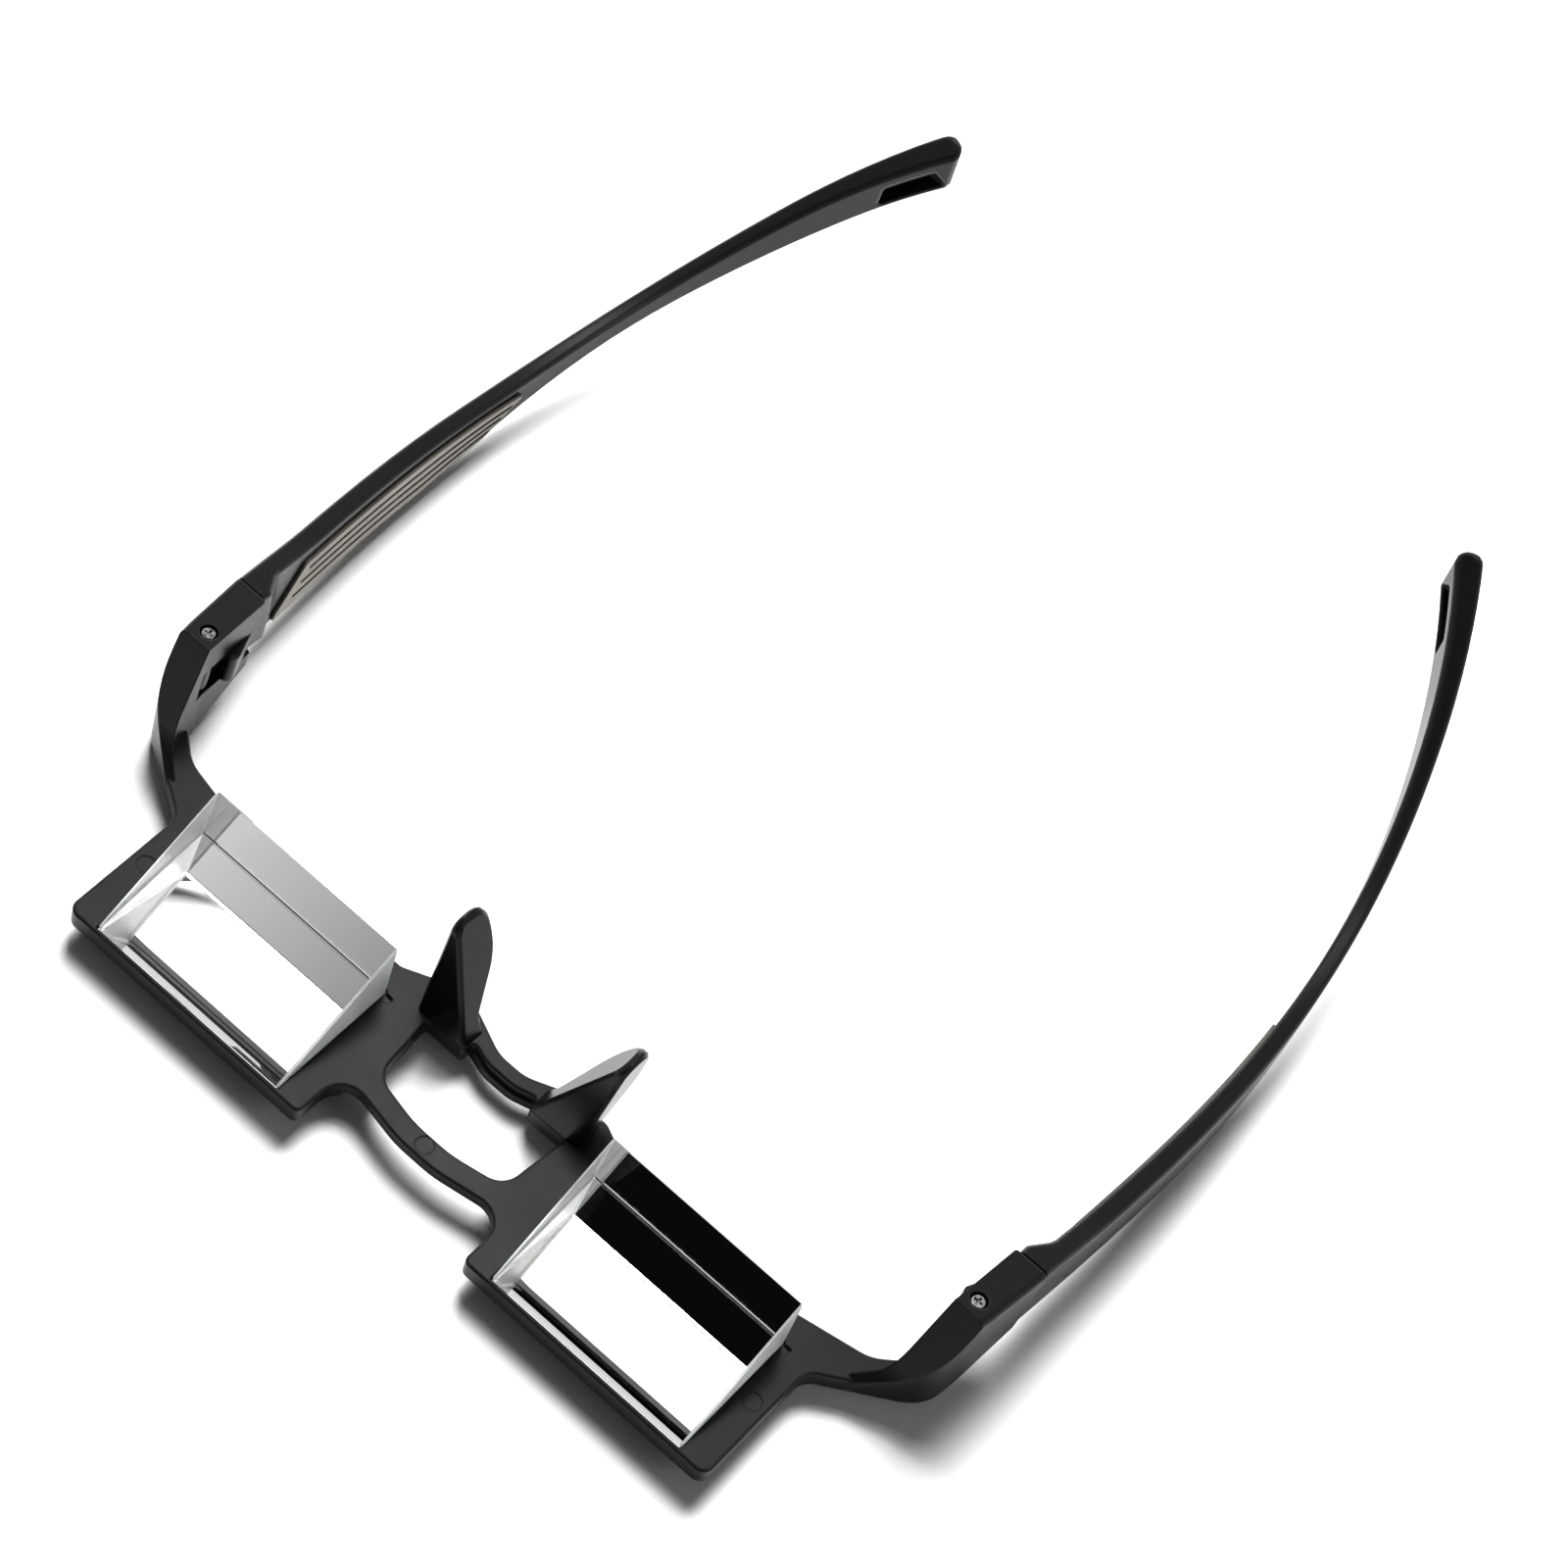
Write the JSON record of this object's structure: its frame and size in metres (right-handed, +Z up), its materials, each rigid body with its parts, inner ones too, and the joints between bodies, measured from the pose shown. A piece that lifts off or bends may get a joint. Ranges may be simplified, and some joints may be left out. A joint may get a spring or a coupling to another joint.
{
  "type": "prism bed glasses",
  "caption": "Spectacle frame lying upside down: a thin deck carries right-angle glass prisms and nose fins, and tall end blocks hold inward-folding temples with inlays.",
  "frame": {"origin": "on the table, under the middle of the whole part's bounding box, with the glasses laid upside down and the temples open", "axes": "X runs across the face, +X towards the wearer's right; Y runs along the temples, +Y towards their tips; Z points up from the table"},
  "size_m": [0.1612, 0.186, 0.0348],
  "materials": {
    "frame_plastic": "satin moulded, charcoal black",
    "pad_plastic": "smooth, slightly glossy black",
    "prism_glass": "polished clear optical glass with fine bevels",
    "inlay_plastic": "satin grey-beige, ribbed",
    "screw_steel": "plain steel screw"
  },
  "bodies": {
    "front": {"front_frame": "frame_plastic", "prism_left": "prism_glass", "prism_right": "prism_glass", "nose_pad_left": "pad_plastic", "nose_pad_right": "pad_plastic", "hinge_screw_left": "screw_steel", "hinge_screw_right": "screw_steel"},
    "temple_left": {"temple_left": "frame_plastic", "temple_inlay_left": "inlay_plastic"},
    "temple_right": {"temple_right": "frame_plastic", "temple_inlay_right": "inlay_plastic"}
  },
  "joints": [
    {"name": "temple_right_hinge", "type": "hinge", "parent": "front", "child": "temple_right", "pos_m": [0.074, -0.05274, 0.0209], "axis": [0, 0.165, 0.9863], "range_deg": [0, 74]},
    {"name": "temple_left_hinge", "type": "hinge", "parent": "front", "child": "temple_left", "pos_m": [-0.074, -0.05274, 0.0209], "axis": [0, 0.165, 0.9863], "range_deg": [-84, 0]}
  ]
}
